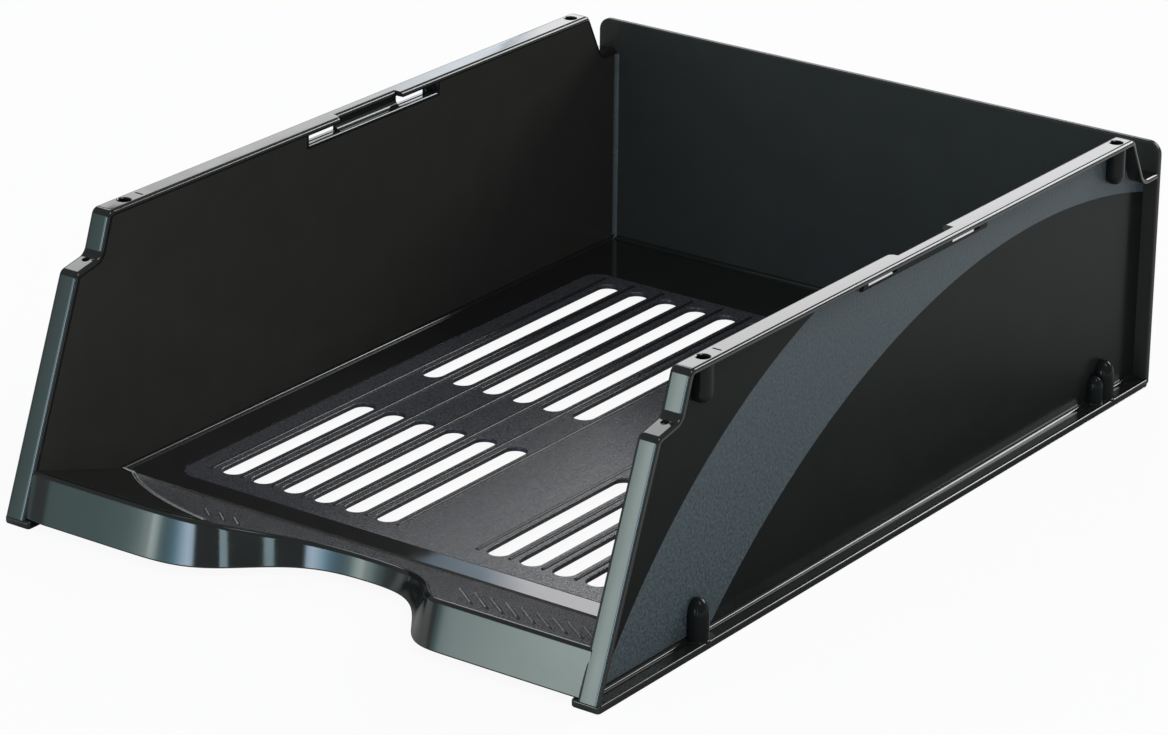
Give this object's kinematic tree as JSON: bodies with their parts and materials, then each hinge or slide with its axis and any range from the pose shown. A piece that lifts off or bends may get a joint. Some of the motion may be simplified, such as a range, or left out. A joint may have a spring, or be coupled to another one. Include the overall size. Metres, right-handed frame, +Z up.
{
  "type": "letter tray",
  "caption": "Deep open-front letter tray with a slotted floor, a ramped front lip with a finger cut-out, high side walls with rims, and stacking holes.",
  "frame": {"origin": "on the table under the middle of the tray's box", "axes": "+X to the right seen from the open front, +Y from the open front to the back wall, +Z up"},
  "size_m": [0.255, 0.356, 0.103],
  "materials": {
    "gloss_black": "polished black polystyrene",
    "grained_floor": "fine moulded grain",
    "grained_band": "fine satin grain"
  },
  "bodies": {
    "root": {"floor_border_front": "gloss_black", "floor_border_back": "gloss_black", "floor_border_left": "gloss_black", "floor_border_right": "gloss_black", "corner_pad": "gloss_black", "front_lip": "gloss_black", "side_wall_left": "gloss_black", "side_wall_right": "gloss_black", "front_flange_left": "gloss_black", "front_flange_right": "gloss_black", "top_rim_left": "gloss_black", "top_rim_right": "gloss_black", "clip_pocket_left": "gloss_black", "clip_pocket_right": "gloss_black", "base_rail_left": "gloss_black", "base_rail_right": "gloss_black", "back_wall": "gloss_black", "rim_socket_front_left": "gloss_black", "rim_socket_front_right": "gloss_black", "rim_socket_rear_left": "gloss_black", "rim_socket_rear_right": "gloss_black", "stacking_lug_front_left": "gloss_black", "stacking_lug_front_right": "gloss_black", "stacking_lug_rear_left": "gloss_black", "stacking_lug_rear_right": "gloss_black", "floor_panel": "grained_floor", "front_ramp": "grained_floor", "grip_ribs": "grained_floor", "side_band_left": "grained_band", "side_band_right": "grained_band"}
  },
  "joints": []
}
